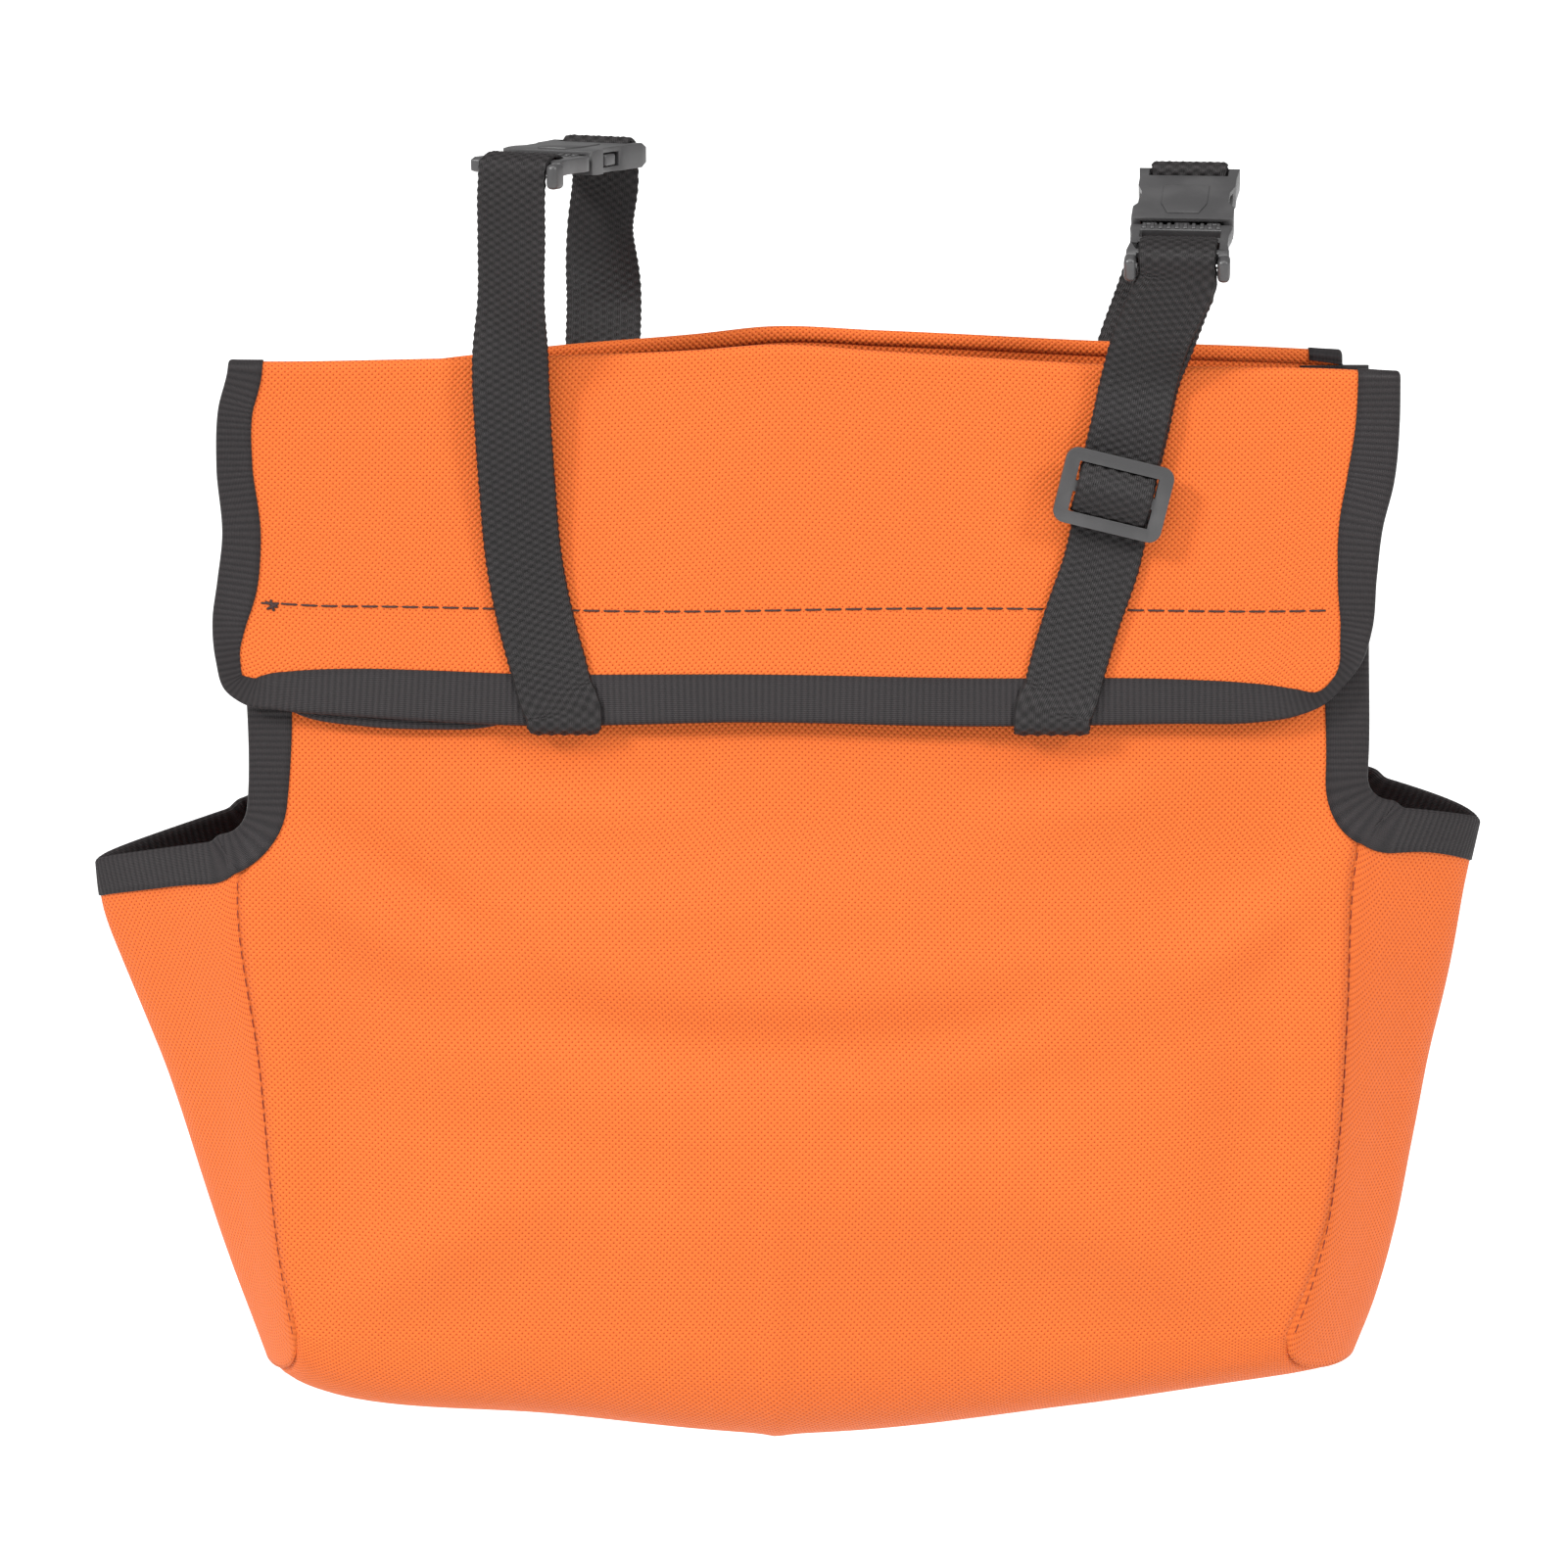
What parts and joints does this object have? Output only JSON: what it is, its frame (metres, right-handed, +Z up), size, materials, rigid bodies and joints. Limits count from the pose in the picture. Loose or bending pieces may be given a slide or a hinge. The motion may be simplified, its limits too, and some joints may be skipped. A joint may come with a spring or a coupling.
{
  "type": "fruit picking bag",
  "caption": "Soft cloth picking bag with turned-over cuffs, bound edges, side gussets and webbing loops that hang it from a rail and close with side-release buckles.",
  "frame": {"origin": "on the rail that the loops hang from, above the middle of the mouth, level with the underside of the left buckle", "axes": "+X to the wearer's left as seen from the front (right in the front view), -Y out of the front, +Z up"},
  "size_m": [0.463, 0.12, 0.4283],
  "materials": {
    "cloth": "orange coated oxford weave",
    "binding_tape": "black ribbed tape",
    "webbing": "black woven webbing",
    "buckle_plastic": "satin dark grey moulding"
  },
  "bodies": {
    "root": {"front_panel": "cloth", "back_panel": "cloth", "bottom_panel": "cloth", "left_gusset": "cloth", "right_gusset": "cloth", "front_cuff": "cloth", "back_cuff": "cloth", "front_neck_binding_left": "binding_tape", "front_cuff_binding_left": "binding_tape", "front_neck_binding_right": "binding_tape", "front_cuff_binding_right": "binding_tape", "back_neck_binding_left": "binding_tape", "back_cuff_binding_left": "binding_tape", "back_neck_binding_right": "binding_tape", "back_cuff_binding_right": "binding_tape", "left_rim_binding": "binding_tape", "right_rim_binding": "binding_tape", "left_front_strap": "webbing", "right_front_strap": "webbing", "left_back_strap": "webbing", "right_back_strap": "webbing", "right_strap_tail": "webbing", "left_buckle_plug": "buckle_plastic", "right_buckle_plug": "buckle_plastic"},
    "front_hem": {"front_hem": "cloth", "front_hem_binding": "binding_tape", "left_front_strap_end": "webbing", "right_front_strap_end": "webbing"},
    "back_hem": {"back_hem": "cloth", "back_hem_binding": "binding_tape", "left_back_strap_end": "webbing", "right_back_strap_end": "webbing"},
    "left_socket": {"left_buckle_socket": "buckle_plastic", "left_loop_top": "webbing"},
    "right_socket": {"right_buckle_socket": "buckle_plastic", "right_loop_top": "webbing"},
    "left_arm_a": {"left_buckle_arm_a": "buckle_plastic"},
    "left_arm_b": {"left_buckle_arm_b": "buckle_plastic"},
    "right_arm_a": {"right_buckle_arm_a": "buckle_plastic"},
    "right_arm_b": {"right_buckle_arm_b": "buckle_plastic"},
    "slider": {"strap_slider": "buckle_plastic"}
  },
  "joints": [
    {"name": "front_hem_lift", "type": "hinge", "parent": "root", "child": "front_hem", "pos_m": [0, -0.027, -0.141], "axis": [-1, 0, 0], "range_deg": [0, 60]},
    {"name": "back_hem_lift", "type": "hinge", "parent": "root", "child": "back_hem", "pos_m": [0, 0.027, -0.141], "axis": [1, 0, 0], "range_deg": [0, 60]},
    {"name": "left_buckle_release", "type": "slide", "parent": "root", "child": "left_socket", "axis": [0.4384, 0.8988, 0], "range_m": [0, 0.028], "deforming": ["left_buckle_arm_a", "left_buckle_arm_b"]},
    {"name": "left_arm_a_press", "type": "hinge", "parent": "root", "child": "left_arm_a", "pos_m": [-0.06974, -0.01202, 0.004], "axis": [0, 0, 1], "range_deg": [0, 8], "stiffness_Nm_per_rad": 0.02},
    {"name": "left_arm_b_press", "type": "hinge", "parent": "root", "child": "left_arm_b", "pos_m": [-0.08771, -0.00326, 0.004], "axis": [0, 0, -1], "range_deg": [0, 8], "stiffness_Nm_per_rad": 0.02},
    {"name": "right_buckle_release", "type": "slide", "parent": "root", "child": "right_socket", "axis": [0.145, 0.9158, 0.3746], "range_m": [0, 0.028], "deforming": ["right_buckle_arm_a", "right_buckle_arm_b"]},
    {"name": "right_arm_a_press", "type": "hinge", "parent": "root", "child": "right_arm_a", "pos_m": [0.13741, -0.01483, -0.01748], "axis": [-0.0586, -0.37, 0.9272], "range_deg": [0, 8], "stiffness_Nm_per_rad": 0.02},
    {"name": "right_arm_b_press", "type": "hinge", "parent": "root", "child": "right_arm_b", "pos_m": [0.11766, -0.0117, -0.01748], "axis": [0.0586, 0.37, -0.9272], "range_deg": [0, 8], "stiffness_Nm_per_rad": 0.02},
    {"name": "slider_travel", "type": "slide", "parent": "root", "child": "slider", "axis": [0.2346, 0.0744, 0.9692], "range_m": [-0.02, 0.025]}
  ],
  "couplings": [
    {"joint": "left_arm_b_press", "follows": "left_arm_a_press", "ratio": 1},
    {"joint": "right_arm_b_press", "follows": "right_arm_a_press", "ratio": 1}
  ]
}
